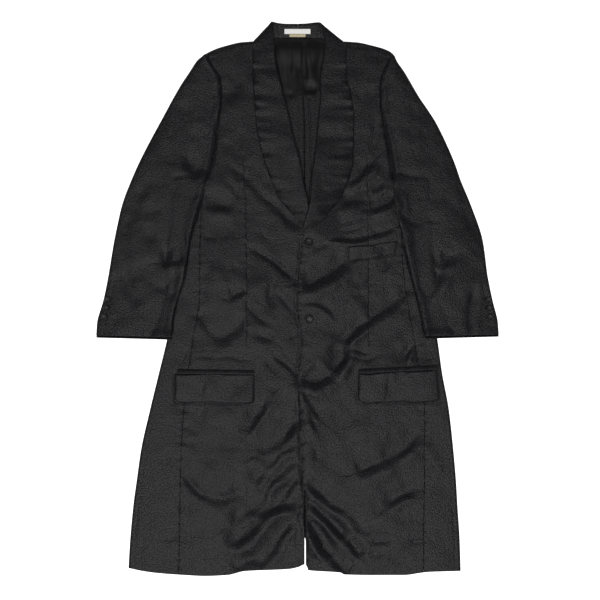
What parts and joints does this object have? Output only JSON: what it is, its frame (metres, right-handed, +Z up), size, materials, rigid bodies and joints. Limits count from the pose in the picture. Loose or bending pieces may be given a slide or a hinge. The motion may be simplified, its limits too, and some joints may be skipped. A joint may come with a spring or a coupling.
{
  "type": "long jacket",
  "caption": "Long single-breasted jacket with a shawl collar, flap pockets and a breast welt, laid flat on its back.",
  "frame": {"origin": "centre of the jacket's outline, on the surface that it lies on", "axes": "+Y from the hem to the collar, +X to the wearer's left, +Z up off the surface, out of the front"},
  "size_m": [0.805, 1.108, 0.0184],
  "materials": {
    "cloth": "pebbled black weave with a soft sheen",
    "lining": "black satin",
    "button": "polished black",
    "label": "white woven, blank",
    "size_tab": "cream woven, blank"
  },
  "bodies": {
    "root": {"back_right": "cloth", "back_left": "cloth", "front_right": "cloth", "front_left": "cloth", "collar_right": "cloth", "collar_left": "cloth", "side_panel_right": "cloth", "side_panel_left": "cloth", "sleeve_under_right": "cloth", "sleeve_under_left": "cloth", "sleeve_upper_right": "cloth", "sleeve_upper_left": "cloth", "pocket_flap_right": "cloth", "pocket_flap_left": "cloth", "pocket_jet_right": "cloth", "pocket_jet_left": "cloth", "breast_welt": "cloth", "lining_yoke": "lining", "neck_label": "label", "size_tab": "size_tab", "button_front_1": "button", "button_front_2": "button", "button_cuff_right_1": "button", "button_cuff_right_2": "button", "button_cuff_right_3": "button", "button_cuff_left_1": "button", "button_cuff_left_2": "button", "button_cuff_left_3": "button"}
  },
  "joints": []
}
